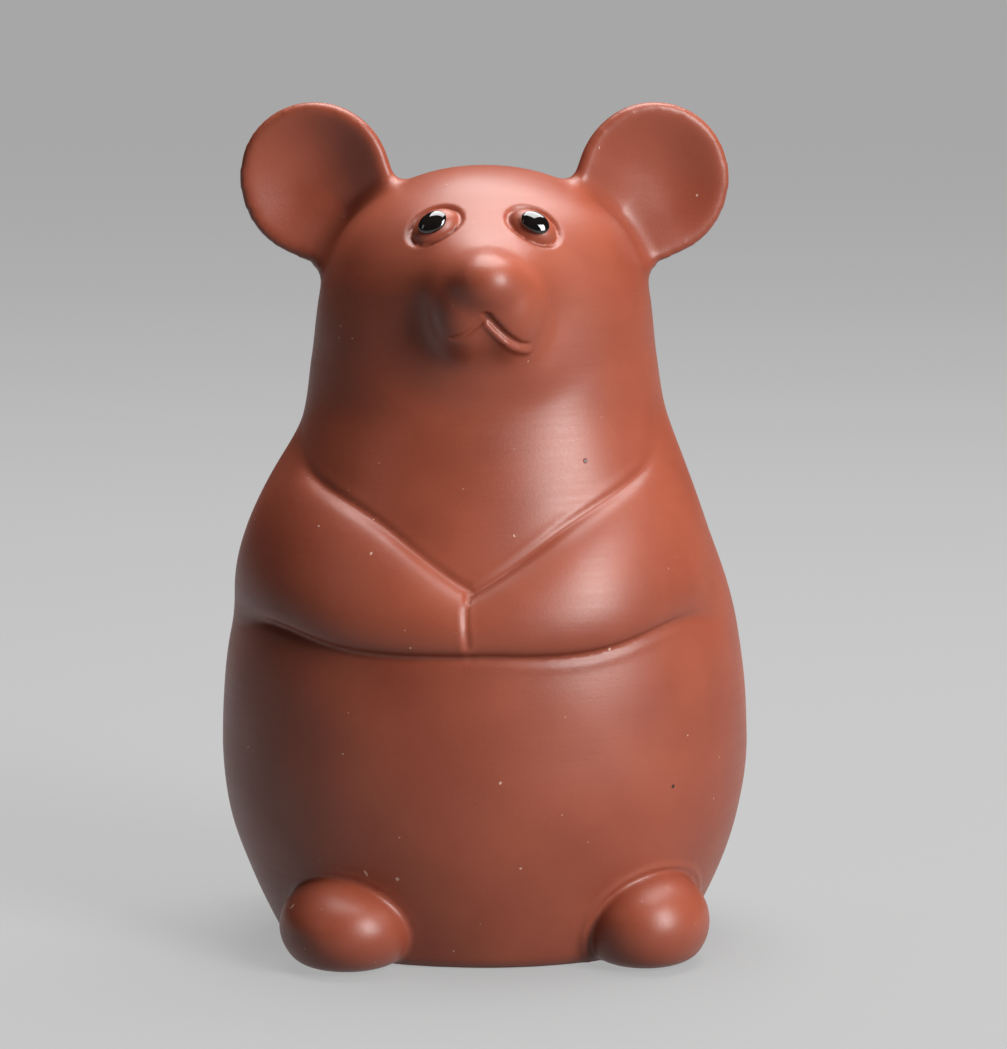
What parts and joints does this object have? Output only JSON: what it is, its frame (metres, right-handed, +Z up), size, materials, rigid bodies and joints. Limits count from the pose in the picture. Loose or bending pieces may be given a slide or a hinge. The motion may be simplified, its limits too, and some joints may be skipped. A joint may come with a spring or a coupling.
{
  "type": "tea pet",
  "caption": "Seated mouse tea pet in unglazed red clay, hollow, with cupped ears, folded arms and black glazed pupils.",
  "frame": {"origin": "centre of the torso's flat base, on the table", "axes": "+Z up, the mouse looks along -Y, +X to the right of someone who looks it in the face"},
  "size_m": [0.0504, 0.0452, 0.08],
  "materials": {
    "red_clay": "unglazed, burnished to a satin sheen",
    "black_glaze": "gloss"
  },
  "bodies": {
    "root": {"clay_body": "red_clay", "left_pupil": "black_glaze", "right_pupil": "black_glaze"}
  },
  "joints": []
}
